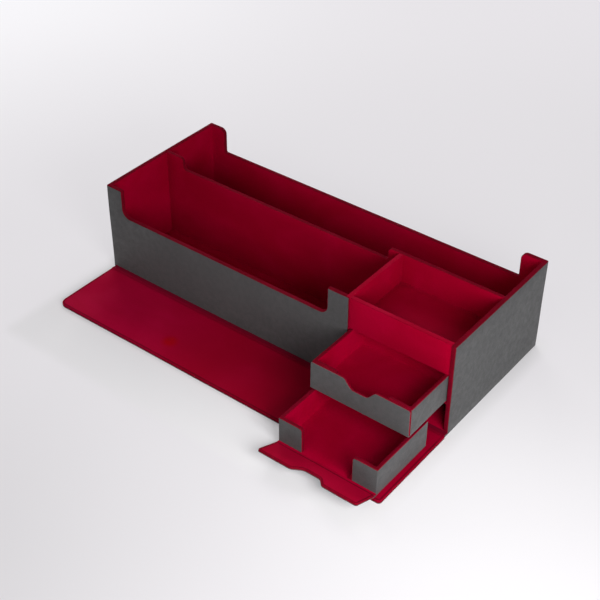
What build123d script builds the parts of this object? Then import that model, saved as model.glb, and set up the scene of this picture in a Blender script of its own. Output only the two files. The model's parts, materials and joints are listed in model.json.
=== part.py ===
from build123d import *
import math
import os

# Trading card drawer box: a board case covered in grey leatherette outside and in crimson
# microfibre inside. A card bay lies in front, a second bay runs the whole length behind it,
# and at the +X end a dice tray sits over two small drawers. A front flap is hinged along the
# case's bottom front edge, and each drawer has its own fold-down flap.
#
# Frame: origin at the centre of the case's footprint, on the table. +X runs along the case
# to the drawers' end, +Y to the back, +Z up. Lengths are millimetres.
# Rest pose: front flap flat on the table, lower drawer out on it with its flap folded down,
# upper drawer half out with its flap closed.

# ---- case ----
case_length = 414.0
case_depth = 161.0
case_height = 101.4
cover = 0.7  # grey leatherette
lining = 0.7  # crimson microfibre
wall_board = 3.0
base_board_thickness = 2.0
corner_radius = 1.2  # upright corners of the case
turned_edge = 0.45  # bevel where the lining is turned over an edge

# Lowered middles of the long walls: ears stay at each end.
front_ear_left = 20.5
front_ear_right = 23.0
front_edge_drop = 30.2
front_foot_radius = 9.0
front_shoulder_radius = 1.2
back_ear_left = 22.0
back_ear_right = 26.5
back_edge_drop = 28.2
back_foot_radius = 1.6
back_shoulder_radius = 6.5

# ---- partitions, drawer shelf and dice tray ----
card_bay_depth = 80.5
partition_board = 3.0
partition_ear_left = 22.0
partition_ear_right = 12.5  # up to the dice tray
partition_edge_drop = 13.4
partition_foot_radius = 4.0
partition_shoulder_radius = 4.0
front_cover_lap = 2.6  # front cover, over the end of the cross partition
shelf_board_thickness = 1.5
tray_floor_board_thickness = 1.8

# ---- drawers ----
drawer_width = 105.0
drawer_depth = 76.6
drawer_height = 29.8
drawer_side_gap = 1.0
drawer_rise = 0.3  # running gap under a drawer
drawer_headroom = 0.3
drawer_cover = 0.6
drawer_lining = 0.6
drawer_wall_board = 2.3
drawer_floor_board = 1.4
drawer_post_width = 26.0  # what is left of the drawer's front wall, each side
drawer_post_radius = 3.0
drawer_flap_board = 1.4
drawer_flap_gap = 0.3  # closed flap to the posts
drawer_hinge_thickness = 0.6
drawer_hinge_gap = 0.4  # hinge line to the flap's lower edge
flap_corner_radius = 2.0
notch_width = 33.0
notch_floor_width = 17.0
notch_depth = 9.5
notch_lip_radius = 5.0
notch_floor_radius = 6.0
lower_drawer_out = 106.0  # travel from closed to where it stands at rest
upper_drawer_out = 58.0
lower_flap_angle = 66.5  # degrees from closed
upper_flap_angle = 0.0

# ---- front flap ----
flap_board = 2.0
flap_standoff = 1.4  # slack of the fabric hinge
flap_left_gap = 2.8  # short of the case's left side
flap_right_lap = 1.0  # past the case's right side: the fabric lets it sit a little askew
flap_reach_cards = 82.0  # free edge in front of the card bay
flap_reach_drawers = 107.0  # free edge in front of the drawers
flap_step_beyond_partition = 8.0
flap_card_corner = 8.0
flap_drawer_corner = 3.5
flap_step_radius = 6.0
hinge_thickness = 1.2
hinge_gap = 0.8  # hinge line to the flap's near edge

# ---- magnets ----
magnet_radius = 5.0
magnet_thickness = 1.5
card_magnet_x = -78.0
card_magnet_height = 51.0
tray_magnet_height = 86.0
small_magnet_radius = 3.0
small_magnet_thickness = 1.0
small_magnet_margin = 2.1  # from a drawer's side board to the disc
small_magnet_drop = 8.0  # from a drawer's top edge

# ---- what follows from them ----
wall = cover + wall_board + lining
base = cover + base_board_thickness + lining
partition = lining + partition_board + lining
shelf = lining + shelf_board_thickness + lining
tray_floor = lining + tray_floor_board_thickness + lining
flap = cover + flap_board + lining

left = -case_length / 2
right = case_length / 2
front = -case_depth / 2
back = case_depth / 2
inner_left = left + wall
inner_right = right - wall
inner_front = front + wall
inner_back = back - wall

bay_left = inner_right - drawer_width - 2 * drawer_side_gap
cross_left = bay_left - partition
partition_front = inner_front + card_bay_depth
partition_back = partition_front + partition
fitting_front = front + cover  # front of the cross partition, the shelf and the tray
front_cover_end = cross_left + front_cover_lap

front_edge_height = case_height - front_edge_drop
back_edge_height = case_height - back_edge_drop
partition_edge_height = case_height - partition_edge_drop

drawer_pitch = drawer_rise + drawer_height + drawer_headroom
shelf_bottom = base + drawer_pitch
tray_bottom = shelf_bottom + shelf + drawer_pitch
tray_surface = tray_bottom + tray_floor
drawer_middle = (bay_left + inner_right) / 2
drawer_flap = drawer_cover + drawer_flap_board + drawer_lining

hinge_reach = flap + flap_standoff
hinge_line = front - hinge_reach
flap_near_edge = hinge_line - hinge_gap
flap_left = left + flap_left_gap
flap_right = right + flap_right_lap
flap_step = bay_left + flap_step_beyond_partition
tray_magnet_x = drawer_middle
overshoot = 20.0  # how far a cutting outline stands past an edge
near = 0.1  # how close an edge lies to the place it is picked by


def lowered_edge(x0, x1, foot, top, foot_radius, shoulder_radius, grow, mode):
    """Region cut from a wall's top edge to leave ears, grown all round by grow."""
    side = shoulder_radius + grow + near
    x0, x1, foot, top = x0 - grow, x1 + grow, foot - grow, top - grow
    outline = [
        (x0 - side, top),
        (x0, top),
        (x0, foot),
        (x1, foot),
        (x1, top),
        (x1 + side, top),
        (x1 + side, top + overshoot),
        (x0 - side, top + overshoot),
    ]
    shoulder = max(shoulder_radius - grow, 0)
    foot_round = foot_radius + grow
    with BuildLine() as line:
        FilletPolyline(
            *outline,
            radius=[0, shoulder, foot_round, foot_round, shoulder, 0, 0, 0],
            close=True,
        )
    make_face(line.edges(), mode=mode)


def front_cut(grow, mode=Mode.ADD):
    lowered_edge(
        left + front_ear_left, front_cover_end - front_ear_right, front_edge_height,
        case_height, front_foot_radius, front_shoulder_radius, grow, mode,
    )


def back_cut(grow, mode=Mode.ADD):
    lowered_edge(
        left + back_ear_left, right - back_ear_right, back_edge_height,
        case_height, back_foot_radius, back_shoulder_radius, grow, mode,
    )


def partition_cut(grow, mode=Mode.ADD):
    lowered_edge(
        inner_left + partition_ear_left, cross_left - partition_ear_right, partition_edge_height,
        case_height, partition_foot_radius, partition_shoulder_radius, grow, mode,
    )


def span(x0, x1, y0, y1, mode=Mode.ADD):
    """A rectangle between two corners of the sketch."""
    with Locations(((x0 + x1) / 2, (y0 + y1) / 2)):
        Rectangle(x1 - x0, y1 - y0, mode=mode)


def facing_front(y):
    """Sketch plane at depth y: sketch x is X, sketch y is Z, extrusion goes to the front."""
    return Plane(origin=(0, y, 0), x_dir=(1, 0, 0), z_dir=(0, -1, 0))


def facing_right(x):
    """Sketch plane at x: sketch x is Y, sketch y is Z, extrusion goes to the right."""
    return Plane(origin=(x, 0, 0), x_dir=(0, 1, 0), z_dir=(1, 0, 0))


def remainder(whole, *pieces):
    """What is left of a form when its boards and covers are taken out: the lining."""
    with BuildPart() as rest:
        add(whole)
        for piece in pieces:
            add(piece, mode=Mode.SUBTRACT)
    return rest


def save(builder, name):
    builder.part.label = name
    export_step(builder.part, f"parts/{name}.step")


os.makedirs("parts", exist_ok=True)

# ---- base and wall boards ----
with BuildPart() as base_board:
    with BuildSketch(Plane.XY.offset(cover)):
        Rectangle(case_length - 2 * cover, case_depth - 2 * cover)
    extrude(amount=base_board_thickness)

board_foot = cover + base_board_thickness
board_top = case_height - lining


def side_board(x):
    """A plain end wall board, from x to the right, between the front and back covers."""
    with BuildPart() as board:
        with BuildSketch(facing_right(x)):
            span(front + cover, back - cover, board_foot, board_top)
        extrude(amount=wall_board)
    return board


left_board = side_board(left + cover)
right_board = side_board(right - cover - wall_board)

with BuildPart() as front_board:
    with BuildSketch(facing_front(front + cover + wall_board)):
        span(left + cover + wall_board, cross_left, board_foot, board_top)
        front_cut(lining, Mode.SUBTRACT)
    extrude(amount=wall_board)
    with BuildSketch(facing_front(front + cover)):
        with Locations((card_magnet_x, card_magnet_height)):
            Circle(magnet_radius)
    extrude(amount=-magnet_thickness, mode=Mode.SUBTRACT)

with BuildPart() as back_board:
    with BuildSketch(facing_front(back - cover)):
        span(left + cover + wall_board, right - cover - wall_board, board_foot, board_top)
        back_cut(lining, Mode.SUBTRACT)
    extrude(amount=wall_board)

# ---- the case as it looks, covered and lined ----
with BuildPart() as case_form:
    with BuildSketch():
        RectangleRounded(case_length, case_depth, corner_radius)
    extrude(amount=case_height)
    with BuildSketch(Plane.XY.offset(base)):
        span(inner_left, inner_right, inner_front, inner_back)
        # the front is open at the drawers, and the cross partition stands in the rest
        span(front_cover_end, inner_right, front - overshoot, inner_front)
        span(cross_left, front_cover_end, fitting_front, inner_front)
    extrude(amount=case_height, mode=Mode.SUBTRACT)
    with BuildSketch(facing_front(inner_front)):
        front_cut(0)
    extrude(amount=wall + overshoot, mode=Mode.SUBTRACT)
    with BuildSketch(facing_front(back + overshoot)):
        back_cut(0)
    extrude(amount=wall + overshoot, mode=Mode.SUBTRACT)
    rim = case_form.edges().filter_by_position(Axis.Z, front_edge_height - near, case_height)
    # the bare lining beside the cross partition is too thin to bevel
    lap_end = rim.filter_by_position(Axis.X, cross_left - near, front_cover_end + near)
    mouth_edge = (
        case_form.edges()
        .filter_by(Axis.Z)
        .filter_by_position(Axis.X, inner_right - near, inner_right + near)
        .filter_by_position(Axis.Y, front - near, front + near)
    )
    chamfer([edge for edge in rim + mouth_edge if edge not in lap_end], turned_edge)

with BuildPart() as base_cover:
    add(case_form.part)
    with BuildSketch(Plane.XY.offset(cover)):
        Rectangle(2 * case_length, 2 * case_depth)
    extrude(amount=2 * case_height, mode=Mode.SUBTRACT)

with BuildPart() as wall_cover:
    with BuildSketch(Plane.XY.offset(cover)):
        Rectangle(2 * case_length, 2 * case_depth)
    extrude(amount=case_height - lining - cover)
    add(case_form.part, mode=Mode.INTERSECT)
    # everything inside the outer layer
    with BuildSketch(Plane.XY):
        Rectangle(case_length - 2 * cover, case_depth - 2 * cover)
        # the right wall's front end and the base's front edge are lined
        span(front_cover_end, right, front - overshoot, front + cover)
    extrude(amount=case_height, mode=Mode.SUBTRACT)
    with BuildSketch(facing_front(inner_front)):
        front_cut(lining)
    extrude(amount=wall + overshoot, mode=Mode.SUBTRACT)
    with BuildSketch(facing_front(back + overshoot)):
        back_cut(lining)
    extrude(amount=wall + overshoot, mode=Mode.SUBTRACT)

case_boards = [b.part for b in (base_board, left_board, right_board, front_board, back_board)]
with BuildPart() as front_magnet:
    with BuildSketch(facing_front(front + cover)):
        with Locations((card_magnet_x, card_magnet_height)):
            Circle(magnet_radius)
    extrude(amount=-magnet_thickness)
case_lining = remainder(
    case_form.part, base_cover.part, wall_cover.part, front_magnet.part, *case_boards
)
with BuildPart() as floor_lining:
    add(case_lining.part)
    with BuildSketch(Plane.XY.offset(base)):
        Rectangle(2 * case_length, 2 * case_depth)
    extrude(amount=2 * case_height, mode=Mode.SUBTRACT)
wall_lining = remainder(case_lining.part, floor_lining.part)

# ---- partitions ----
with BuildPart() as long_partition_form:
    with BuildSketch(facing_front(partition_back)):
        span(inner_left, inner_right, base, case_height)
        partition_cut(0, Mode.SUBTRACT)
    extrude(amount=partition)
    rim = long_partition_form.edges().filter_by_position(
        Axis.Z, partition_edge_height - near, case_height
    )
    chamfer(rim.filter_by_position(Axis.X, inner_left + near, inner_right - near), turned_edge)

with BuildPart() as long_partition_board:
    with BuildSketch(facing_front(partition_back - lining)):
        span(inner_left, inner_right, base, board_top)
        partition_cut(lining, Mode.SUBTRACT)
    extrude(amount=partition_board)
long_partition_lining = remainder(long_partition_form.part, long_partition_board.part)

with BuildPart() as cross_partition_form:
    with BuildSketch(Plane.XY.offset(base)):
        span(cross_left, bay_left, fitting_front, partition_front)
    extrude(amount=case_height - base)
    ends = cross_partition_form.faces().sort_by(Axis.Y)[0].edges().filter_by(Axis.Z)
    chamfer(ends, turned_edge)

with BuildPart() as cross_partition_board:
    with BuildSketch(Plane.XY.offset(base)):
        span(cross_left + lining, bay_left - lining, fitting_front + lining, partition_front)
    extrude(amount=board_top - base)
cross_partition_lining = remainder(cross_partition_form.part, cross_partition_board.part)


def lined_panel(y0, y1, z0, z1, skins, pocket=None):
    """A panel from the cross partition to the right wall: its board and its lining.

    skins gives the lining's thickness in front, behind, below and above the board.
    """
    in_front, behind, below, above = skins
    with BuildPart() as form:
        with BuildSketch(facing_right(bay_left)):
            span(y0, y1, z0, z1)
        extrude(amount=inner_right - bay_left)
        chamfer(form.faces().sort_by(Axis.Y)[0].edges().filter_by(Axis.X), turned_edge)
    with BuildPart() as board:
        with BuildSketch(facing_right(bay_left)):
            span(y0 + in_front, y1 - behind, z0 + below, z1 - above)
        extrude(amount=inner_right - bay_left)
        if pocket:
            add(pocket, mode=Mode.SUBTRACT)
    taken = [board.part, pocket] if pocket else [board.part]
    return board, remainder(form.part, *taken)


tray_wall_back = fitting_front + partition
tray_floor_top = tray_surface - lining

drawer_shelf_board, drawer_shelf_lining = lined_panel(
    fitting_front, partition_front, shelf_bottom, shelf_bottom + shelf,
    skins=(lining, 0, lining, lining),
)
tray_floor_board, drawer_roof_lining = lined_panel(
    tray_wall_back, partition_front, tray_bottom, tray_floor_top, skins=(0, 0, lining, 0)
)
with BuildPart() as tray_floor_lining:
    with BuildSketch(Plane.XY.offset(tray_floor_top)):
        span(bay_left, inner_right, tray_wall_back, partition_front)
    extrude(amount=lining)

with BuildPart() as tray_magnet:
    with BuildSketch(facing_front(fitting_front + lining)):
        with Locations((tray_magnet_x, tray_magnet_height)):
            Circle(magnet_radius)
    extrude(amount=-magnet_thickness)
tray_front_board, tray_front_lining = lined_panel(
    fitting_front, tray_wall_back, tray_bottom, case_height,
    skins=(lining, lining, lining, lining), pocket=tray_magnet.part,
)

with BuildPart() as case_magnets:
    add(front_magnet.part)
    add(tray_magnet.part)

for piece, name in (
    (base_cover, "base_cover"),
    (wall_cover, "wall_cover"),
    (wall_lining, "wall_lining"),
    (floor_lining, "floor_lining"),
    (base_board, "base_board"),
    (left_board, "left_board"),
    (right_board, "right_board"),
    (front_board, "front_board"),
    (back_board, "back_board"),
    (long_partition_board, "long_partition_board"),
    (long_partition_lining, "long_partition_lining"),
    (cross_partition_board, "cross_partition_board"),
    (cross_partition_lining, "cross_partition_lining"),
    (drawer_shelf_board, "drawer_shelf_board"),
    (drawer_shelf_lining, "drawer_shelf_lining"),
    (tray_floor_board, "tray_floor_board"),
    (tray_floor_lining, "tray_floor_lining"),
    (drawer_roof_lining, "drawer_roof_lining"),
    (tray_front_board, "tray_front_board"),
    (tray_front_lining, "tray_front_lining"),
    (case_magnets, "case_magnets"),
):
    save(piece, name)


# ---- front flap, flat on the table ----
def flap_outline(inset):
    """The flap from above: deeper in front of the drawers, with a rounded step between."""
    far_cards = front - flap_reach_cards + inset
    far_drawers = front - flap_reach_drawers + inset
    outline = [
        (flap_left + inset, flap_near_edge - inset),
        (flap_left + inset, far_cards),
        (flap_step + inset, far_cards),
        (flap_step + inset, far_drawers),
        (flap_right - inset, far_drawers),
        (flap_right - inset, flap_near_edge - inset),
    ]
    rounding = [
        0,
        flap_card_corner - inset,
        flap_step_radius + inset,
        flap_step_radius - inset,
        flap_drawer_corner - inset,
        0,
    ]
    with BuildLine() as line:
        FilletPolyline(*outline, radius=rounding, close=True)
    make_face(line.edges())


def flap_discs():
    """Magnets under the flap's lining, which meet the case's magnets when it is closed."""
    pivot_height = hinge_thickness / 2
    for x, height in ((card_magnet_x, card_magnet_height), (tray_magnet_x, tray_magnet_height)):
        with Locations((x, hinge_line - (height - pivot_height))):
            Circle(magnet_radius)


with BuildPart() as front_flap_form:
    with BuildSketch():
        flap_outline(0)
    extrude(amount=flap)
    chamfer(front_flap_form.faces().sort_by(Axis.Z)[-1].edges(), turned_edge)

with BuildPart() as front_flap_cover:
    with BuildSketch():
        flap_outline(0)
    extrude(amount=cover)

with BuildPart() as front_flap_magnets:
    with BuildSketch(Plane.XY.offset(cover + flap_board)):
        flap_discs()
    extrude(amount=-magnet_thickness)

with BuildPart() as front_flap_board:
    with BuildSketch(Plane.XY.offset(cover)):
        flap_outline(lining)
    extrude(amount=flap_board)
    add(front_flap_magnets.part, mode=Mode.SUBTRACT)

front_flap_lining = remainder(
    front_flap_form.part, front_flap_cover.part, front_flap_board.part, front_flap_magnets.part
)

with BuildPart() as front_flap_hinge:
    with BuildSketch(facing_right(flap_left)):
        span(hinge_line, front, 0, hinge_thickness)
    extrude(amount=right - flap_left)

save(front_flap_cover, "front_flap_cover")
save(front_flap_board, "front_flap_board")
save(front_flap_lining, "front_flap_lining")
save(front_flap_magnets, "front_flap_magnets")
save(front_flap_hinge, "front_flap_hinge")


# ---- drawers ----
drawer_left = drawer_middle - drawer_width / 2
drawer_right = drawer_middle + drawer_width / 2
drawer_wall = drawer_cover + drawer_wall_board + drawer_lining
drawer_floor = drawer_cover + drawer_floor_board + drawer_lining
drawer_side_skin = drawer_cover + drawer_wall_board
drawer_hinge_reach = drawer_flap + drawer_flap_gap


def post_gap(low, high, inset, mode=Mode.ADD):
    """The drawer's open front between its two posts, whose free top corners are rounded."""
    x0 = drawer_left + drawer_post_width - inset
    x1 = drawer_right - drawer_post_width + inset
    top = high - inset
    side = drawer_post_radius + near
    post_round = max(drawer_post_radius - inset, 0)
    outline = [
        (x0, low),
        (x1, low),
        (x1, top),
        (x1 + side, top),
        (x1 + side, top + overshoot),
        (x0 - side, top + overshoot),
        (x0 - side, top),
        (x0, top),
    ]
    with BuildLine() as line:
        FilletPolyline(
            *outline, radius=[0, 0, post_round, 0, 0, 0, 0, post_round], close=True
        )
    make_face(line.edges(), mode=mode)


def flap_face(inset, foot, height):
    """A drawer flap seen from the front: rounded top corners and a finger notch."""
    x0 = -drawer_width / 2 + inset
    x1 = drawer_width / 2 - inset
    top = height - inset
    outline = [
        (x0, foot + inset),
        (x1, foot + inset),
        (x1, top),
        (notch_width / 2 + inset / 2, top),
        (notch_floor_width / 2 + inset / 2, height - notch_depth - inset),
        (-notch_floor_width / 2 - inset / 2, height - notch_depth - inset),
        (-notch_width / 2 - inset / 2, top),
        (x0, top),
    ]
    corner = flap_corner_radius - inset
    lip = notch_lip_radius - inset
    dip = notch_floor_radius + inset
    with BuildLine() as line:
        FilletPolyline(
            *outline, radius=[0, 0, corner, lip, dip, dip, lip, corner], close=True
        )
    make_face(line.edges())


def drawer_magnet_places(top):
    """The centres of a drawer's two discs, as x and height."""
    offset = drawer_width / 2 - drawer_side_skin - small_magnet_margin - small_magnet_radius
    return [(drawer_middle + side * offset, top - small_magnet_drop) for side in (-1, 1)]


def make_drawer_box(name, bottom, face):
    """A drawer without its flap: boards, cover, lining and magnets. face is its posts' front."""
    rear = face + drawer_depth
    top = bottom + drawer_height
    low = bottom + drawer_cover
    floor_top = low + drawer_floor_board
    surface = bottom + drawer_floor
    wall_top = top - drawer_lining
    wall_front = face + drawer_cover
    wall_rear = rear - drawer_cover

    with BuildPart() as form:
        with BuildSketch(Plane.XY.offset(bottom)):
            span(drawer_left, drawer_right, face, rear)
        extrude(amount=drawer_height)
        with BuildSketch(Plane.XY.offset(surface)):
            span(
                drawer_left + drawer_wall, drawer_right - drawer_wall,
                face + drawer_wall, rear - drawer_wall,
            )
        extrude(amount=drawer_height, mode=Mode.SUBTRACT)
        with BuildSketch(facing_front(face + drawer_wall)):
            post_gap(surface, top, 0)
        extrude(amount=drawer_wall, mode=Mode.SUBTRACT)
        rim = form.edges().filter_by_position(Axis.Z, top - drawer_post_radius, top)
        chamfer(rim, turned_edge)

    with BuildPart() as floor_board:
        with BuildSketch(Plane.XY.offset(low)):
            span(drawer_left + drawer_cover, drawer_right - drawer_cover, wall_front, wall_rear)
        extrude(amount=drawer_floor_board)
    boards = {"floor_board": floor_board}

    for side, x in (
        ("left_board", drawer_left + drawer_cover),
        ("right_board", drawer_right - drawer_side_skin),
    ):
        with BuildPart() as board:
            with BuildSketch(facing_right(x)):
                span(wall_front, wall_rear, floor_top, wall_top)
            extrude(amount=drawer_wall_board)
        boards[side] = board

    inner_x0 = drawer_left + drawer_side_skin
    inner_x1 = drawer_right - drawer_side_skin
    with BuildPart() as rear_board:
        with BuildSketch(facing_front(wall_rear)):
            span(inner_x0, inner_x1, floor_top, wall_top)
        extrude(amount=drawer_wall_board)
    boards["back_board"] = rear_board

    with BuildPart() as magnets:
        with BuildSketch(facing_front(wall_front)):
            with Locations(*drawer_magnet_places(top)):
                Circle(small_magnet_radius)
        extrude(amount=-small_magnet_thickness)

    for side, x0, x1 in (
        ("front_left_post", inner_x0, drawer_middle),
        ("front_right_post", drawer_middle, inner_x1),
    ):
        with BuildPart() as post:
            with BuildSketch(facing_front(wall_front + drawer_wall_board)):
                span(x0, x1, floor_top, wall_top)
                post_gap(floor_top - near, top, drawer_lining, Mode.SUBTRACT)
            extrude(amount=drawer_wall_board)
            add(magnets.part, mode=Mode.SUBTRACT)
        boards[side] = post

    with BuildPart() as outside:
        with BuildSketch(Plane.XY.offset(bottom)):
            span(drawer_left, drawer_right, face, rear)
        extrude(amount=wall_top - bottom)
        add(form.part, mode=Mode.INTERSECT)
        with BuildSketch(Plane.XY.offset(low)):
            span(drawer_left + drawer_cover, drawer_right - drawer_cover, wall_front, wall_rear)
        extrude(amount=drawer_height, mode=Mode.SUBTRACT)
        with BuildSketch(facing_front(face + drawer_wall)):
            post_gap(low, top, drawer_lining)
        extrude(amount=drawer_wall, mode=Mode.SUBTRACT)
    inside = remainder(
        form.part, outside.part, magnets.part, *[board.part for board in boards.values()]
    )

    for piece_name, piece in boards.items():
        save(piece, f"{name}_{piece_name}")
    save(outside, f"{name}_cover")
    save(inside, f"{name}_lining")
    save(magnets, f"{name}_post_magnets")


def make_drawer_flap(name, bottom, face, angle):
    """A drawer's flap and its hinge, folded down by angle degrees from closed.

    It turns about the hinge's middle line at the drawer's lower front edge.
    """
    fold = math.radians(angle)
    top = bottom + drawer_height
    pivot_height = bottom + drawer_hinge_thickness / 2
    skin_offset = drawer_cover / 4  # the pivot lies within the flap's cover
    pivot_depth = face - drawer_hinge_reach + skin_offset
    height = top - pivot_height
    foot = drawer_hinge_thickness / 2 + drawer_hinge_gap
    turned = Plane(
        origin=(drawer_middle, pivot_depth, pivot_height),
        x_dir=(1, 0, 0),
        z_dir=(0, -math.cos(fold), -math.sin(fold)),
    )
    behind_lining = turned.offset(skin_offset - drawer_flap + drawer_lining)

    with BuildPart() as form:
        with BuildSketch(turned.offset(skin_offset - drawer_flap)):
            flap_face(0, foot, height)
        extrude(amount=drawer_flap)
    with BuildPart() as outside:
        with BuildSketch(turned.offset(skin_offset - drawer_cover)):
            flap_face(0, foot, height)
        extrude(amount=drawer_cover)
    with BuildPart() as magnets:
        with BuildSketch(behind_lining):
            for x, z in drawer_magnet_places(top):
                with Locations((x - drawer_middle, z - pivot_height)):
                    Circle(small_magnet_radius)
        extrude(amount=small_magnet_thickness)
    with BuildPart() as board:
        with BuildSketch(behind_lining):
            flap_face(drawer_lining, foot, height)
        extrude(amount=drawer_flap_board)
        add(magnets.part, mode=Mode.SUBTRACT)
    inside = remainder(form.part, outside.part, board.part, magnets.part)

    with BuildPart() as hinge:
        with BuildSketch(facing_right(drawer_left)):
            span(face - drawer_hinge_reach, face, bottom, bottom + drawer_hinge_thickness)
        extrude(amount=drawer_width)

    save(board, f"{name}_flap_board")
    save(outside, f"{name}_flap_cover")
    save(inside, f"{name}_flap_lining")
    save(magnets, f"{name}_flap_magnets")
    save(hinge, f"{name}_hinge")


for name, bottom, out, flap_angle in (
    ("lower_drawer", base + drawer_rise, lower_drawer_out, lower_flap_angle),
    ("upper_drawer", shelf_bottom + shelf + drawer_rise, upper_drawer_out, upper_flap_angle),
):
    drawer_face = front - out + drawer_hinge_reach
    make_drawer_box(name, bottom, drawer_face)
    make_drawer_flap(name, bottom, drawer_face, flap_angle)
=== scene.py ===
"""Looks of the trading card drawer box: covered and lined skins, fabric hinges, studio."""

import json
import math
from collections import namedtuple

import bmesh
import bpy
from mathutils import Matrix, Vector, noise


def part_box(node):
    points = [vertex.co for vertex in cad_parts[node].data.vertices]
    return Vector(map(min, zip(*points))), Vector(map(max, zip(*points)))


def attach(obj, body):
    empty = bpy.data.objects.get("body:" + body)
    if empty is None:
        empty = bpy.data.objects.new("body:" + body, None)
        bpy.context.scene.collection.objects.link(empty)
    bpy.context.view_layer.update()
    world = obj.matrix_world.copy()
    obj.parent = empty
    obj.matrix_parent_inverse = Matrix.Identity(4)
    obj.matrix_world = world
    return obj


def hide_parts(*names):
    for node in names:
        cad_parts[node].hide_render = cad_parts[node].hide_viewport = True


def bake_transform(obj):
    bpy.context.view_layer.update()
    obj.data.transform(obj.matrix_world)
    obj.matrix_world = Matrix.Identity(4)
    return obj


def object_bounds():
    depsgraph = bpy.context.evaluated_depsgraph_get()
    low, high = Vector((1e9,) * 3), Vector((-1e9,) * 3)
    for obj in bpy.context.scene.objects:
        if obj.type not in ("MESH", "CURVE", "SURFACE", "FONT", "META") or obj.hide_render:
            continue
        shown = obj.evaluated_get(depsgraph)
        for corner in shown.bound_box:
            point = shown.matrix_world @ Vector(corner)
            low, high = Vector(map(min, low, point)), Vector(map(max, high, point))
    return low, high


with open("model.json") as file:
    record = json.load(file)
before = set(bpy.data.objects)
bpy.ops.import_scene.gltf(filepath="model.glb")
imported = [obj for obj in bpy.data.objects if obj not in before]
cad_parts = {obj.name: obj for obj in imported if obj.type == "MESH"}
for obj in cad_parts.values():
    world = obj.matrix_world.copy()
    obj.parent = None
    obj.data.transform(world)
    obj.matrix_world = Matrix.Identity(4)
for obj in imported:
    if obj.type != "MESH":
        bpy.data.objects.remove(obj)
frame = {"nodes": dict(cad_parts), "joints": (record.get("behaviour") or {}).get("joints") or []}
cad_low, cad_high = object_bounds()
scene = bpy.context.scene
MM = 0.001

# ---- skins ----
WELD = 0.002 * MM  # the frame's meshes are split at their edges
FLAT_ANGLE = math.radians(0.5)  # faces this close to flat are one face
FOLD_ANGLE = math.radians(25)  # sharper edges than this are folds of the material
FOLD_RADIUS = 0.2 * MM
SMOOTH_ANGLE = math.radians(40)  # edges that turn less than this are shaded smooth
GRID = 11 * MM  # spacing of the points that the glued sheets undulate by
UNDULATION = 0.11 * MM
UNDULATION_PER_METRE = 23.0
UNDULATION_FADE = 3.0 * MM  # no undulation where a skin meets the table
NOISE_FOR_Y = Vector((31.7, 0.0, 0.0))  # far from the noise that moves points along X
NOISE_FOR_Z = Vector((0.0, 57.3, 0.0))

# ---- flap magnets under the lining ----
DIMPLE_RADIUS = 6.0 * MM
DIMPLE_DEPTH = 0.3 * MM
DIMPLE_GRID = 1.0 * MM
DIMPLE_SKIN = 0.5 * MM  # points this far below the lining's top aren't pressed in
RUB_OFFSET = Vector((4.0, -3.5, 0.0)) * MM  # from a magnet's middle to the rub spot over it
RUB_RADIUS = 11 * MM

# ---- painted shade on the flaps, along the front flap's fold and along their edges ----
FOLD_REACH = 11 * MM  # how far the painted shade reaches from the front flap's fold
FOLD_SHADE_STRENGTH = 0.75
BORDER = 1.9 * MM  # width of the band of painted shade along the flaps' edges

# ---- edges a sheet wraps round, with painted shade, and worn edges ----
TURNED_WIDTH = 3.7 * MM  # faces narrower than this are edges that a sheet wraps round, darkened with painted shade
WORN_RADIUS = 0.6 * MM
WORN_STRENGTH = 0.35
UNWORN_COSINE = 0.99  # of a normal's turn over an edge
WORN_COSINE = 0.8

# ---- fabric hinges ----
HINGE_SHEET = 0.7 * MM
HINGE_TUCK = 0.8 * MM  # how far a hinge sheet runs under what it is glued to
HINGE_BELOW = 0.06 * MM  # how far below its neighbours' tops it lies there
HINGE_SAG = 0.6 * MM
HINGE_LIFT = 0.02 * MM  # between the front hinge's cover and the table
HINGE_STEPS = 20
HINGE_SPACING = 6 * MM  # of a hinge sheet's points along X
DRAWER_HINGE_SHEET = 0.6 * MM
DRAWER_HINGE_LAP = 0.3 * MM  # how far its cover runs under the drawer
DRAWER_HINGE_TURN = 0.4 * MM  # how far from its pivot the cover starts to turn up
DRAWER_HINGE_RISE = 1.0 * MM  # how far up the flap the cover runs
DRAWER_HINGE_START = 1.0 * MM  # how far under the drawer the cover starts to bend
DRAWER_HINGE_STEPS = 8


# ======== materials ========
Spot = namedtuple("Spot", "point reach core strength colour")


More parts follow.
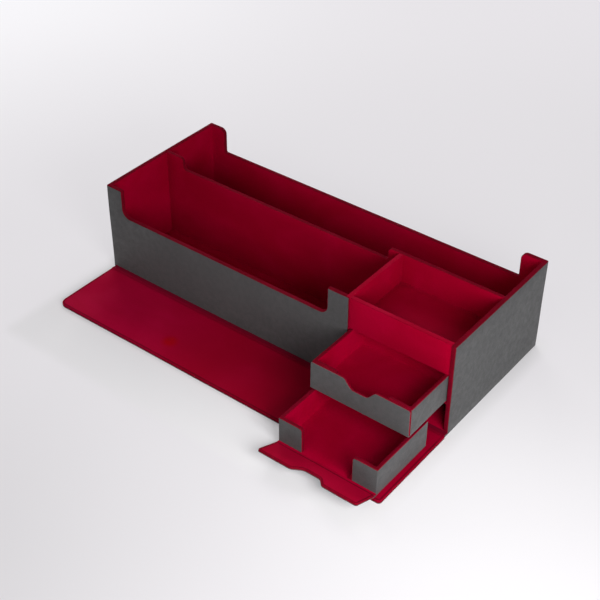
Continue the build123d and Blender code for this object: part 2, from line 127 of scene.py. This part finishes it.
class Nodes:
    """Short calls for building one material's node tree."""

    def __init__(self, name, world=None):
        """Starts a new material's tree, or adds to a world's."""
        self.material = world or bpy.data.materials.new(name)
        self.material.use_nodes = True
        self.tree = self.material.node_tree
        self.shader = self.tree.nodes.get("Principled BSDF")
        self.place = self.add("ShaderNodeTexCoord").outputs["Object"]

    def add(self, kind, **settings):
        node = self.tree.nodes.new(kind)
        for key, value in settings.items():
            setattr(node, key, value)
        return node

    def put(self, socket, value):
        """Links an output to a socket, or sets the socket's own value."""
        if isinstance(value, bpy.types.NodeSocket):
            self.tree.links.new(value, socket)
        else:
            socket.default_value = value

    def cloud(self, per_metre, detail=3.0, roughness=0.55, stretch=None, distortion=0.0):
        """Noise from 0 to 1 with per_metre waves a metre, stretched along the axes."""
        place = self.place
        if stretch:
            mapping = self.add("ShaderNodeMapping")
            self.put(mapping.inputs["Vector"], self.place)
            mapping.inputs["Scale"].default_value = stretch
            place = mapping.outputs["Vector"]
        node = self.add("ShaderNodeTexNoise")
        self.put(node.inputs["Vector"], place)
        node.inputs["Scale"].default_value = per_metre
        node.inputs["Detail"].default_value = detail
        node.inputs["Roughness"].default_value = roughness
        node.inputs["Distortion"].default_value = distortion
        return node.outputs["Fac"]

    def cells(self, per_metre):
        """Distance to the middle of the nearest of per_metre cells a metre."""
        node = self.add("ShaderNodeTexVoronoi")
        self.put(node.inputs["Vector"], self.place)
        node.inputs["Scale"].default_value = per_metre
        return node.outputs["Distance"]

    def spread(self, value, low, high, to_low=0.0, to_high=1.0):
        """Maps low..high smoothly to to_low..to_high."""
        node = self.add("ShaderNodeMapRange", interpolation_type="SMOOTHSTEP")
        self.put(node.inputs["Value"], value)
        node.inputs["From Min"].default_value = low
        node.inputs["From Max"].default_value = high
        node.inputs["To Min"].default_value = to_low
        node.inputs["To Max"].default_value = to_high
        return node.outputs["Result"]

    def math(self, operation, a, b):
        node = self.add("ShaderNodeMath", operation=operation)
        self.put(node.inputs[0], a)
        self.put(node.inputs[1], b)
        return node.outputs["Value"]

    def mix(self, factor, a, b):
        node = self.add("ShaderNodeMix", data_type="RGBA")
        self.put(node.inputs["Factor"], factor)
        self.put(node.inputs["A"], a)
        self.put(node.inputs["B"], b)
        return node.outputs["Result"]

    def near(self, point, radius, core):
        """1 within a core share of radius from a point, falling smoothly to 0 at radius."""
        node = self.add("ShaderNodeVectorMath", operation="DISTANCE")
        self.put(node.inputs[0], self.place)
        node.inputs[1].default_value = point
        return self.spread(node.outputs["Value"], radius, radius * core)

    def tint(self, colour, spot):
        """Mixes a spot's colour into another round its point."""
        near = self.math("MULTIPLY", self.near(spot.point, spot.reach, spot.core), spot.strength)
        return self.mix(near, colour, spot.colour)

    def near_footprint(self, reach):
        """1 within the object's outline seen from above, falling smoothly to 0 at reach from it."""
        middle = (cad_low + cad_high) / 2
        half = (cad_high - cad_low) / 2
        vector = self.place
        for operation, other in (
            ("SUBTRACT", (middle.x, middle.y, 0)),
            ("ABSOLUTE", (0, 0, 0)),
            ("SUBTRACT", (half.x, half.y, 0)),
            ("MAXIMUM", (0, 0, 0)),
        ):
            node = self.add("ShaderNodeVectorMath", operation=operation)
            self.put(node.inputs[0], vector)
            node.inputs[1].default_value = other
            vector = node.outputs["Vector"]
        away = self.add("ShaderNodeVectorMath", operation="LENGTH")
        self.put(away.inputs[0], vector)
        return self.spread(away.outputs["Value"], reach, 0.0)

    def along_x(self, y, reach):
        """1 at a line along X, falling smoothly to 0 at reach from it."""
        axes = self.add("ShaderNodeSeparateXYZ")
        self.put(axes.inputs[0], self.place)
        away = self.math("ABSOLUTE", self.math("SUBTRACT", axes.outputs["Y"], y), 0.0)
        return self.spread(away, reach, 0.0)

    def edge_wear(self):
        """0 on flats, up to 1 on an outer or inner edge."""
        bevel = self.add("ShaderNodeBevel", samples=6)
        bevel.inputs["Radius"].default_value = WORN_RADIUS
        geometry = self.add("ShaderNodeNewGeometry")
        dot = self.add("ShaderNodeVectorMath", operation="DOT_PRODUCT")
        self.put(dot.inputs[0], bevel.outputs["Normal"])
        self.put(dot.inputs[1], geometry.outputs["Normal"])
        return self.spread(dot.outputs["Value"], UNWORN_COSINE, WORN_COSINE)

    def bump(self, height, distance, strength, under=None):
        node = self.add("ShaderNodeBump")
        node.inputs["Strength"].default_value = strength
        node.inputs["Distance"].default_value = distance
        self.put(node.inputs["Height"], height)
        if under is not None:
            self.put(node.inputs["Normal"], under)
        return node.outputs["Normal"]


def microfibre(name, painted_edge_shade=0.0, painted_light_and_rub_spots=(), fold=None):
    """Crimson microfibre: a short nap with patches and streaks, fine fibres and a velvet sheen,
    and spots of painted light and shade. The second argument is how strongly painted shade
    darkens the nap, and lowers its sheen and gloss, where it wraps round an edge, and fold is the
    Y of a flap's fold along X, along which painted shade darkens it."""
    n = Nodes(name)
    patches = n.spread(n.cloud(14, detail=2.5, distortion=0.6), 0.38, 0.66)
    nap_streaks_and_painted_light = n.spread(n.cloud(30, detail=4, stretch=(1.0, 2.6, 2.6)), 0.35, 0.7)
    fibres = n.cloud(850, detail=6, roughness=0.7)
    specks = n.cloud(3200, detail=2)

    colour = n.mix(patches, (0.285, 0.0, 0.0145, 1), (0.335, 0.0, 0.0215, 1))
    for spot in painted_light_and_rub_spots:
        colour = n.tint(colour, spot)
    colour = n.mix(n.math("MULTIPLY", nap_streaks_and_painted_light, 0.22), colour, (0.25, 0.0, 0.012, 1))
    colour = n.mix(n.spread(fibres, 0.3, 0.75, 0.0, 0.34), colour, (0.20, 0.0, 0.010, 1))
    colour = n.mix(n.spread(specks, 0.55, 0.85, 0.0, 0.25), colour, (0.42, 0.002, 0.034, 1))
    # painted shade where the nap wraps round an edge, patchy, and fading out near a flap's fold
    if painted_edge_shade:
        rub_spot_and_edge_shade = n.spread(n.cloud(120, detail=4), 0.35, 0.7, painted_edge_shade, painted_edge_shade * 0.8)
        if fold is not None:
            off_fold = n.math("SUBTRACT", 1.0, n.along_x(fold, 2 * FOLD_REACH))
            rub_spot_and_edge_shade = n.math("MULTIPLY", rub_spot_and_edge_shade, off_fold)
        colour = n.mix(rub_spot_and_edge_shade, colour, (0.030, 0.003, 0.005, 1))
    # painted shade along a flap's fold, where the flap meets the wall
    if fold is not None:
        fold_shade = n.math("MULTIPLY", n.along_x(fold, FOLD_REACH), FOLD_SHADE_STRENGTH)
        colour = n.mix(fold_shade, colour, (0.050, 0.003, 0.010, 1))
    n.put(n.shader.inputs["Base Color"], colour)
    n.put(n.shader.inputs["Roughness"], n.spread(patches, 0.0, 1.0, 0.95, 0.84))
    n.shader.inputs["Specular IOR Level"].default_value = 0.10 * (1 - painted_edge_shade)
    n.shader.inputs["Specular Tint"].default_value = (1.0, 0.03, 0.12, 1)
    n.shader.inputs["Sheen Weight"].default_value = 0.30 * (1 - painted_edge_shade)
    n.shader.inputs["Sheen Roughness"].default_value = 0.45
    n.shader.inputs["Sheen Tint"].default_value = (0.85, 0.01, 0.08, 1)
    soft = n.bump(nap_streaks_and_painted_light, 0.05 * MM, 0.5)
    nap = n.bump(fibres, 0.12 * MM, 0.6, under=soft)
    n.put(n.shader.inputs["Normal"], n.bump(specks, 0.05 * MM, 0.5, under=nap))
    return n.material


def leatherette(name, painted_edge_shade=0.0, tone=1.0):
    """Dark grey soft-touch leatherette: pebbled grain, cloudy mottling and smudges, worn edges.
    The second argument is how strongly painted shade darkens it where it wraps round an edge,
    in place of the worn edges, and tone how light it is."""
    n = Nodes(name)
    clouds = n.spread(n.cloud(11, detail=4, distortion=0.8), 0.32, 0.7)
    smudges = n.spread(n.cloud(34, detail=5, roughness=0.6, distortion=1.1), 0.46, 0.68)
    mottling = n.cloud(150, detail=5, roughness=0.65, distortion=0.4)
    pebbles = n.cells(1150)
    pores = n.cloud(2600, detail=3)

    def grey(level):
        return (level * tone, level * tone, (level + 0.001) * tone, 1)

    colour = n.mix(clouds, grey(0.043), grey(0.056))
    colour = n.mix(n.math("MULTIPLY", smudges, 0.45), colour, grey(0.033))
    colour = n.mix(n.spread(mottling, 0.38, 0.66, 0.0, 0.6), colour, grey(0.035))
    colour = n.mix(n.spread(pebbles, 0.15, 0.75, 0.0, 0.4), colour, grey(0.074))
    # painted shade where the sheet wraps round an edge
    if painted_edge_shade:
        colour = n.mix(painted_edge_shade, colour, (0.012, 0.010, 0.010, 1))
    else:
        worn = n.math("MULTIPLY", n.edge_wear(), WORN_STRENGTH)
        colour = n.mix(worn, colour, (0.115, 0.115, 0.115, 1))
    n.put(n.shader.inputs["Base Color"], colour)
    n.put(n.shader.inputs["Roughness"], n.spread(mottling, 0.3, 0.7, 0.58, 0.78))
    n.shader.inputs["Specular IOR Level"].default_value = 0.32
    n.shader.inputs["Sheen Weight"].default_value = 0.10
    n.shader.inputs["Sheen Roughness"].default_value = 0.5
    waves = n.bump(clouds, 0.35 * MM, 0.6)
    creases = n.bump(smudges, 0.12 * MM, 0.5, under=waves)
    grain = n.bump(pebbles, 0.10 * MM, 0.7, under=creases)
    n.put(n.shader.inputs["Normal"], n.bump(pores, 0.05 * MM, 0.5, under=grain))
    return n.material


def greyboard():
    """Raw grey bookbinder's board: pulp flecks and faint layers."""
    n = Nodes("raw_greyboard")
    pulp = n.cloud(420, detail=6, roughness=0.75)
    flecks = n.spread(n.cloud(1700, detail=2), 0.62, 0.74)
    layers = n.cloud(900, detail=2, stretch=(0.08, 0.08, 1.0))
    colour = n.mix(pulp, (0.26, 0.235, 0.20, 1), (0.40, 0.37, 0.32, 1))
    colour = n.mix(n.math("MULTIPLY", layers, 0.3), colour, (0.22, 0.20, 0.17, 1))
    colour = n.mix(n.math("MULTIPLY", flecks, 0.6), colour, (0.12, 0.10, 0.085, 1))
    n.put(n.shader.inputs["Base Color"], colour)
    n.put(n.shader.inputs["Roughness"], n.spread(pulp, 0.3, 0.7, 0.82, 0.95))
    n.shader.inputs["Specular IOR Level"].default_value = 0.2
    n.put(n.shader.inputs["Normal"], n.bump(pulp, 0.1 * MM, 0.6))
    return n.material


def plated_magnet():
    """Nickel plated disc magnet with fine handling scratches."""
    n = Nodes("plated_magnet")
    scratches = n.cloud(900, detail=5, stretch=(1.0, 9.0, 9.0))
    tarnish = n.cloud(160, detail=3)
    colour = n.mix(n.spread(tarnish, 0.4, 0.7), (0.60, 0.60, 0.62, 1), (0.50, 0.49, 0.47, 1))
    n.put(n.shader.inputs["Base Color"], colour)
    n.shader.inputs["Metallic"].default_value = 1.0
    n.put(n.shader.inputs["Roughness"], n.spread(scratches, 0.3, 0.7, 0.16, 0.38))
    n.put(n.shader.inputs["Normal"], n.bump(scratches, 0.01 * MM, 0.4))
    return n.material


# ======== skins: the covers and linings, cut from the frame's own meshes ========
def undulation(point):
    """How far a glued sheet stands off at a place: the same for every skin that meets there."""
    wave = point * UNDULATION_PER_METRE
    away = min(max(point.z / UNDULATION_FADE, 0.0), 1.0)
    return Vector((
        noise.noise(wave),
        noise.noise(wave + NOISE_FOR_Y),
        noise.noise(wave + NOISE_FOR_Z) * away,
    )) * UNDULATION * 2


def cut_grid(mesh, axis, places):
    """Cuts a mesh by planes across an axis, so that it has points there to move."""
    normal = Vector((0, 0, 0))
    normal[axis] = 1
    for place in places:
        point = normal * place
        everything = mesh.verts[:] + mesh.edges[:] + mesh.faces[:]
        bmesh.ops.bisect_plane(mesh, geom=everything, dist=WELD, plane_co=point, plane_no=normal)


def steps(low, high, spacing):
    """Evenly spaced places strictly between low and high."""
    count = max(int(round((high - low) / spacing)), 1)
    return [low + (high - low) * i / count for i in range(1, count)]


def read_node(node):
    """A frame node's mesh, welded and with its flat faces whole."""
    mesh = bmesh.new()
    mesh.from_mesh(frame["nodes"][node].data)
    bmesh.ops.remove_doubles(mesh, verts=mesh.verts, dist=WELD)
    bmesh.ops.dissolve_limit(
        mesh, angle_limit=FLAT_ANGLE, use_dissolve_boundaries=False,
        verts=mesh.verts, edges=mesh.edges,
    )
    return mesh


def mark_turned(mesh):
    """Gives the narrow faces, where a sheet wraps round an edge, the second material, which has
    painted shade.
    """
    for face in mesh.faces:
        if face.calc_area() < TURNED_WIDTH * face.calc_perimeter() / 2:
            face.material_index = 1


def round_folds(mesh):
    """Rounds the edges where a sheet is folded or cut."""
    folds = [e for e in mesh.edges if e.is_manifold and e.calc_face_angle() > FOLD_ANGLE]
    bmesh.ops.bevel(
        mesh, geom=folds, offset=FOLD_RADIUS, offset_type="OFFSET", segments=2,
        profile=0.5, affect="EDGES", clamp_overlap=True,
    )


def finish_mesh(mesh, name, materials):
    """Writes a bmesh to a new, smooth-shaded object with sharp folds."""
    many = [f for f in mesh.faces if len(f.verts) > 4]
    bmesh.ops.triangulate(mesh, faces=many)
    bmesh.ops.recalc_face_normals(mesh, faces=mesh.faces)
    for face in mesh.faces:
        face.smooth = True
    for edge in mesh.edges:
        if edge.is_manifold:
            edge.smooth = edge.calc_face_angle() < SMOOTH_ANGLE
    data = bpy.data.meshes.new(name)
    mesh.to_mesh(data)
    mesh.free()
    for material in materials:
        data.materials.append(material)
    piece = bpy.data.objects.new(name, data)
    scene.collection.objects.link(piece)
    return piece


def add_border(mesh):
    """Sets off a narrow border on the two broad faces of a flat sheet, narrow enough to get the
    second material, with its painted shade.
    """
    broad = sorted(mesh.faces, key=lambda face: face.calc_area())[-2:]
    for face in broad:
        bmesh.ops.inset_region(mesh, faces=[face], thickness=BORDER, use_even_offset=True)


def skin(name, node, body, materials, shape=None, extra_cuts=(), border=False):
    """A cover or lining over the boards, in place of a frame node."""
    mesh = read_node(node)
    if border:
        add_border(mesh)
    mark_turned(mesh)
    round_folds(mesh)
    low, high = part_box(node)
    for axis in range(3):
        cut_grid(mesh, axis, steps(low[axis], high[axis], GRID))
    for axis, places in extra_cuts:
        cut_grid(mesh, axis, places)
    for vertex in mesh.verts:
        offset = undulation(vertex.co)
        if shape:
            offset += shape(vertex.co)
        vertex.co += offset
    piece = finish_mesh(mesh, name, materials)
    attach(piece, body)
    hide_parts(node)


# ======== fabric hinges ========
def sheet_along_x(name, path, x0, x1, thickness, material):
    """A closed sheet of cloth: a smooth path across it, in Y and Z, run along X."""
    columns = [x0] + steps(x0, x1, HINGE_SPACING) + [x1]
    sides = []
    for i, (y, z) in enumerate(path):
        y0, z0 = path[max(i - 1, 0)]
        y1, z1 = path[min(i + 1, len(path) - 1)]
        along = Vector((y1 - y0, z1 - z0)).normalized()
        across = Vector((-along.y, along.x)) * thickness / 2
        sides.append(((y + across.x, z + across.y), (y - across.x, z - across.y)))
    loop = [upper for upper, lower in sides] + [lower for upper, lower in reversed(sides)]
    mesh = bmesh.new()
    rings = [[mesh.verts.new((x, y, z)) for y, z in loop] for x in columns]
    count = len(loop)
    for ring, following in zip(rings, rings[1:]):
        for i in range(count):
            j = (i + 1) % count
            mesh.faces.new((ring[i], ring[j], following[j], following[i]))
    for ring in (rings[0], rings[-1]):
        for i in range(len(path) - 1):
            mesh.faces.new((ring[i], ring[i + 1], ring[count - 2 - i], ring[count - 1 - i]))
    return finish_mesh(mesh, name, [material])


def bezier(points, count):
    """Points along one smooth Bezier curve with the given control points."""
    out = []
    for k in range(count + 1):
        level = [Vector(p) for p in points]
        t = k / count
        while len(level) > 1:
            level = [a.lerp(b, t) for a, b in zip(level, level[1:])]
        out.append(tuple(level[0]))
    return out


def front_hinge(crimson, grey):
    """The flap's hinge: the lining sags across the joint, the cover runs flat below it."""
    low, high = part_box("front_flap_hinge")
    flap_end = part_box("front_flap_lining")[1].y
    floor_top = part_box("floor_lining")[1].z
    near_case = high.y + HINGE_TUCK
    near_flap = flap_end - HINGE_TUCK
    level = floor_top - HINGE_SHEET / 2 - HINGE_BELOW
    middle = (near_case + near_flap) / 2
    dip = level - 2 * HINGE_SAG
    top_path = bezier([
        (near_case, level), (middle, level), (middle, dip), (middle, level), (near_flap, level),
    ], HINGE_STEPS)
    bottom = HINGE_SHEET / 2 + HINGE_LIFT
    bottom_path = bezier([(near_case, bottom), (middle, bottom), (near_flap, bottom)], HINGE_STEPS)
    for name, path, material, slot in (
        ("flap_hinge_lining", top_path, crimson, "crimson_lining"),
        ("flap_hinge_cover", bottom_path, grey, "grey_cover"),
    ):
        piece = sheet_along_x(name, path, low.x, high.x, HINGE_SHEET, material)
        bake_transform(piece)
        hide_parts("front_flap_hinge")


def drawer_hinge(drawer, crimson, grey):
    """A drawer's hinge: the cover runs under the joint and up the flap, the lining bridges the
    fold inside."""
    joint = next(j for j in frame["joints"] if j["name"] == f"{drawer}_flap_hinge")
    pivot = Vector(joint["pos_m"])
    low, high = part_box(f"{drawer}_hinge")
    cover = frame["nodes"][f"{drawer}_flap_cover"].data
    top = max((v.co for v in cover.vertices), key=lambda co: (co - pivot).length)
    up_flap = Vector((0, top.y - pivot.y, top.z - pivot.z)).normalized()
    off_flap = Vector((0, up_flap.z, -up_flap.y))  # out of the flap's lined face

    foot = pivot + up_flap * DRAWER_HINGE_RISE
    level = low.z + DRAWER_HINGE_SHEET / 2
    cover_path = bezier([
        (high.y + DRAWER_HINGE_LAP, level),
        (pivot.y + DRAWER_HINGE_TURN, level),
        (pivot.y, level),
        (foot.y, foot.z),
    ], DRAWER_HINGE_STEPS)

    board_low, board_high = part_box(f"{drawer}_floor_board")
    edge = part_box(f"{drawer}_lining")[0].y
    floor_top = board_high.z + board_low.y - edge  # the lining is as thick below as in front
    sill = Vector((0, edge, floor_top))
    lining = frame["nodes"][f"{drawer}_flap_lining"].data
    corners = [Vector((0, v.co.y, v.co.z)) for v in lining.vertices]
    lip = min(corners, key=lambda corner: (corner - sill).length)
    depth = DRAWER_HINGE_SHEET / 2 + HINGE_BELOW
    start = sill + Vector((0, HINGE_TUCK, -depth))
    end = lip - off_flap * depth - up_flap * HINGE_TUCK * up_flap.y
    middle = (start + end) / 2 - Vector((0, 0, HINGE_SAG))
    lining_path = bezier(
        [(start.y, start.z), (middle.y, middle.z), (end.y, end.z)], DRAWER_HINGE_STEPS
    )

    for name, path, material, slot, blend_start, blend_end in (
        (f"{drawer}_hinge_cover", cover_path, grey, "grey_cover",
         (0, high.y - DRAWER_HINGE_START, level), (0, foot.y, foot.z)),
        (f"{drawer}_hinge_lining", lining_path, crimson, "crimson_lining", tuple(sill), tuple(lip)),
    ):
        piece = sheet_along_x(name, path, low.x, high.x, DRAWER_HINGE_SHEET, material)
        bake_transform(piece)
        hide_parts(f"{drawer}_hinge")


# ======== the part ========
def left_magnet():
    """The middle of the front flap's left magnet, on top of its lining."""
    places = [v.co for v in frame["nodes"]["front_flap_magnets"].data.vertices]
    middle = sum(co.x for co in places) / len(places)
    disc = [co for co in places if co.x <= middle]
    return Vector((
        (min(co.x for co in disc) + max(co.x for co in disc)) / 2,
        (min(co.y for co in disc) + max(co.y for co in disc)) / 2,
        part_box("front_flap_lining")[1].z,
    ))


def dress_part():
    dimple = left_magnet()
    # painted light: the front flap's left end made lighter
    painted_light_end = Spot(
        point=(-0.15, -0.14, 0.003), reach=0.14, core=0.1, strength=0.5,
        colour=(0.43, 0.0, 0.045, 1),
    )
    # painted shadow of the drawers on the middle of the front flap
    painted_shade_middle = Spot(
        point=(0.03, -0.15, 0.003), reach=0.10, core=0.1, strength=0.35,
        colour=(0.20, 0.0, 0.010, 1),
    )
    rub_spot_and_edge_shade = Spot(
        point=dimple + RUB_OFFSET, reach=RUB_RADIUS, core=0.3, strength=0.95,
        colour=(0.36, 0.0, 0.0015, 1),
    )
    # spots of painted light and shade, and the rub spot over the left magnet
    nap_streaks_and_painted_light = (painted_light_end, painted_shade_middle, rub_spot_and_edge_shade)
    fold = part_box("front_flap_hinge")[1].y
    crimson = microfibre("crimson_microfibre", painted_light_and_rub_spots=nap_streaks_and_painted_light)
    crimson_flap = microfibre("crimson_flap_microfibre", painted_light_and_rub_spots=nap_streaks_and_painted_light, fold=fold)
    # the edge materials are copies darkened with painted shade, for where a sheet wraps round an
    # edge
    flap_edge = microfibre("crimson_flap_edge_painted_shade", painted_edge_shade=0.6, painted_light_and_rub_spots=nap_streaks_and_painted_light, fold=fold)
    crimson_edge = microfibre("crimson_edge_painted_shade", painted_edge_shade=0.66)
    grey = leatherette("grey_leatherette")
    grey_edge = leatherette("grey_edge_painted_shade", painted_edge_shade=0.5)
    cloth = (crimson, crimson_edge)
    flap_cloth = (crimson_flap, flap_edge)
    sheet = (grey, grey_edge)
    case_sheet = (leatherette("grey_case_leatherette", tone=0.86), grey_edge)
    board = greyboard()
    plated = plated_magnet()

    for node, piece in frame["nodes"].items():
        piece.data.materials.clear()
        if node.endswith("magnets"):
            piece.data.materials.append(plated)
        elif "cover" in node or node.endswith("drawer_hinge"):
            piece.data.materials.append(grey)
        elif "lining" in node or node == "front_flap_hinge":
            piece.data.materials.append(crimson)
        else:
            piece.data.materials.append(board)

    def press(point):
        """The lining dips into the rim round the magnet beneath it."""
        away = math.hypot(point.x - dimple.x, point.y - dimple.y)
        if point.z < dimple.z - DIMPLE_SKIN or away > DIMPLE_RADIUS:
            return Vector((0, 0, 0))
        depth = DIMPLE_DEPTH * 0.5 * (1 + math.cos(math.pi * away / DIMPLE_RADIUS))
        return Vector((0, 0, -depth))

    fine = [
        (axis, steps(dimple[axis] - DIMPLE_RADIUS, dimple[axis] + DIMPLE_RADIUS, DIMPLE_GRID))
        for axis in (0, 1)
    ]
    for node in (
        "wall_lining", "floor_lining", "long_partition_lining", "cross_partition_lining",
        "drawer_shelf_lining", "tray_floor_lining", "drawer_roof_lining", "tray_front_lining",
    ):
        skin(f"{node}_cloth", node, "case", cloth)
    for node in ("wall_cover", "base_cover"):
        skin(f"{node}_sheet", node, "case", case_sheet)
    skin(
        "flap_lining_cloth", "front_flap_lining", "front_flap", flap_cloth,
        press, fine, border=True,
    )
    skin("flap_cover_sheet", "front_flap_cover", "front_flap", sheet)
    for drawer in ("lower_drawer", "upper_drawer"):
        leaf = f"{drawer}_flap"
        skin(f"{drawer}_lining_cloth", f"{drawer}_lining", drawer, cloth)
        skin(
            f"{leaf}_lining_cloth", f"{leaf}_lining", leaf, flap_cloth,
            border=True,
        )
        skin(f"{drawer}_cover_sheet", f"{drawer}_cover", drawer, sheet)
        skin(f"{leaf}_cover_sheet", f"{leaf}_cover", leaf, sheet)
        drawer_hinge(drawer, crimson, grey)
    front_hinge(crimson_flap, grey)


# ======== studio ========
CAMERA_PLACE = Vector((0.5984, -0.8087, 0.7807))
CAMERA_AZIMUTH = math.radians(37.490)
CAMERA_ELEVATION = math.radians(37.638)
CAMERA_ROLL = math.radians(0.475)
CAMERA_LENS = 75.19
VIEW_REACH = 50.0
FLOOR_REACH = 12.0
SHADED_SHARE = 0.34  # share of the floor's look that takes light and shadow, near the object
SHADED_REACH = 1.1
SHADED_CORE = 0.45
CONTACT_SHARE = 0.75  # the same within the object's footprint
CONTACT_REACH = 0.03
FLOOR_PALE = (0.80, 0.775, 0.81, 1)
FLOOR_PAINTED_LIGHT = (  # painted pools of light and shade: where the table top looks lighter or darker than FLOOR_PALE
    Spot(
        point=(-0.85, 0.3, 0), reach=0.68, core=0.0, strength=1.0, colour=(0.95, 0.94, 0.97, 1)
    ),
    Spot(
        point=(-0.05, -0.5, 0), reach=0.35, core=0.0, strength=1.0, colour=(0.66, 0.64, 0.665, 1)
    ),
    Spot(
        point=(0.235, -0.13, 0), reach=0.22, core=0.0, strength=1.0, colour=(0.93, 0.91, 0.94, 1)
    ),
)
WORLD_LEVEL = 0.03
BACKDROP_LEVEL = 0.80
LAMP_TARGET = (0.02, 0, 0.03)


def make_camera():
    data = bpy.data.cameras.new("camera")
    data.sensor_width = 36
    data.lens = CAMERA_LENS
    data.clip_end = VIEW_REACH
    camera = bpy.data.objects.new("camera", data)
    level = math.cos(CAMERA_ELEVATION)
    backward = Vector((
        math.sin(CAMERA_AZIMUTH) * level,
        -math.cos(CAMERA_AZIMUTH) * level,
        math.sin(CAMERA_ELEVATION),
    ))
    right = (-backward).cross(Vector((0, 0, 1))).normalized()
    up = right.cross(-backward)
    c, s = math.cos(CAMERA_ROLL), math.sin(CAMERA_ROLL)
    right, up = right * c + up * s, up * c - right * s
    for column, axis in enumerate((right, up, backward)):
        for row in range(3):
            camera.matrix_world[row][column] = axis[row]
    camera.matrix_world.translation = CAMERA_PLACE
    scene.collection.objects.link(camera)
    scene.camera = camera


def area_light(name, place, size, watts):
    data = bpy.data.lights.new(name, "AREA")
    data.shape = "SQUARE"
    data.size = size
    data.energy = watts
    lamp = bpy.data.objects.new(name, data)
    lamp.location = place
    aim = Vector(LAMP_TARGET) - Vector(place)
    lamp.rotation_euler = aim.to_track_quat("-Z", "Y").to_euler()
    scene.collection.objects.link(lamp)


def seen_directly(n):
    """1 for rays from the camera, also by way of metal or glass, and 0 for light on the object."""
    rays = n.add("ShaderNodeLightPath").outputs
    seen = n.math("MAXIMUM", rays["Is Camera Ray"], rays["Is Glossy Ray"])
    return n.math("MAXIMUM", seen, rays["Is Transmission Ray"])


def make_floor():
    """A pale table top. The camera sees it evenly lit but for painted pools of light and shade,
    with a softened shadow of the object.
    """
    mesh = bmesh.new()
    bmesh.ops.create_grid(mesh, x_segments=2, y_segments=2, size=FLOOR_REACH)
    data = bpy.data.meshes.new("floor")
    mesh.to_mesh(data)
    mesh.free()
    n = Nodes("studio_floor")
    haze = n.cloud(2.2, detail=1)
    n.put(n.shader.inputs["Base Color"], n.mix(haze, (0.80, 0.79, 0.80, 1), (0.86, 0.85, 0.86, 1)))
    n.shader.inputs["Roughness"].default_value = 0.9
    n.shader.inputs["Specular IOR Level"].default_value = 0.1
    even = n.add("ShaderNodeEmission")
    pale = FLOOR_PALE
    # painted pools of light and shade in the glow the camera sees
    for spot in FLOOR_PAINTED_LIGHT:
        pale = n.tint(pale, spot)
    n.put(even.inputs["Color"], pale)
    wide = n.math("MULTIPLY", n.near((0, 0, 0), SHADED_REACH, SHADED_CORE), SHADED_SHARE)
    contact = n.math("MULTIPLY", n.near_footprint(CONTACT_REACH), CONTACT_SHARE)
    shaded = n.math("MAXIMUM", wide, contact)
    both = n.add("ShaderNodeMixShader")
    n.put(both.inputs["Fac"], n.math("MULTIPLY", seen_directly(n), n.math("SUBTRACT", 1.0, shaded)))
    n.put(both.inputs[1], n.shader.outputs["BSDF"])
    n.put(both.inputs[2], even.outputs["Emission"])
    output = next(node for node in n.tree.nodes if node.type == "OUTPUT_MATERIAL")
    n.put(output.inputs["Surface"], both.outputs["Shader"])
    data.materials.append(n.material)
    floor = bpy.data.objects.new("floor", data)
    scene.collection.objects.link(floor)


def make_world():
    """Faint light from all round, which the camera sees as a pale backdrop."""
    world = bpy.data.worlds.new("studio")
    world.use_nodes = True
    n = Nodes("studio_backdrop", world)
    background = world.node_tree.nodes["Background"]
    background.inputs["Color"].default_value = (0.99, 0.975, 1, 1)
    strength = n.spread(seen_directly(n), 0.0, 1.0, WORLD_LEVEL, BACKDROP_LEVEL)
    n.put(background.inputs["Strength"], strength)
    scene.world = world


def make_studio():
    scene.view_settings.view_transform = "Standard"
    make_world()
    area_light("window_behind_left", (-0.9, 0.9, 0.9), 0.8, 9.5)
    area_light("ceiling_behind", (0.0, 1.2, 1.0), 0.8, 6.0)
    area_light("low_left", (-1.2, -0.1, 0.35), 0.6, 4.3)
    area_light("low_right", (0.6, -0.4, 0.35), 0.35, 5.0)
    area_light("fill_front", (0.2, -1.2, 0.8), 0.8, 2.7)
    area_light("fill_front_left", (-0.7, -1.0, 0.8), 0.8, 1.4)
    make_floor()


make_camera()
dress_part()
make_studio()
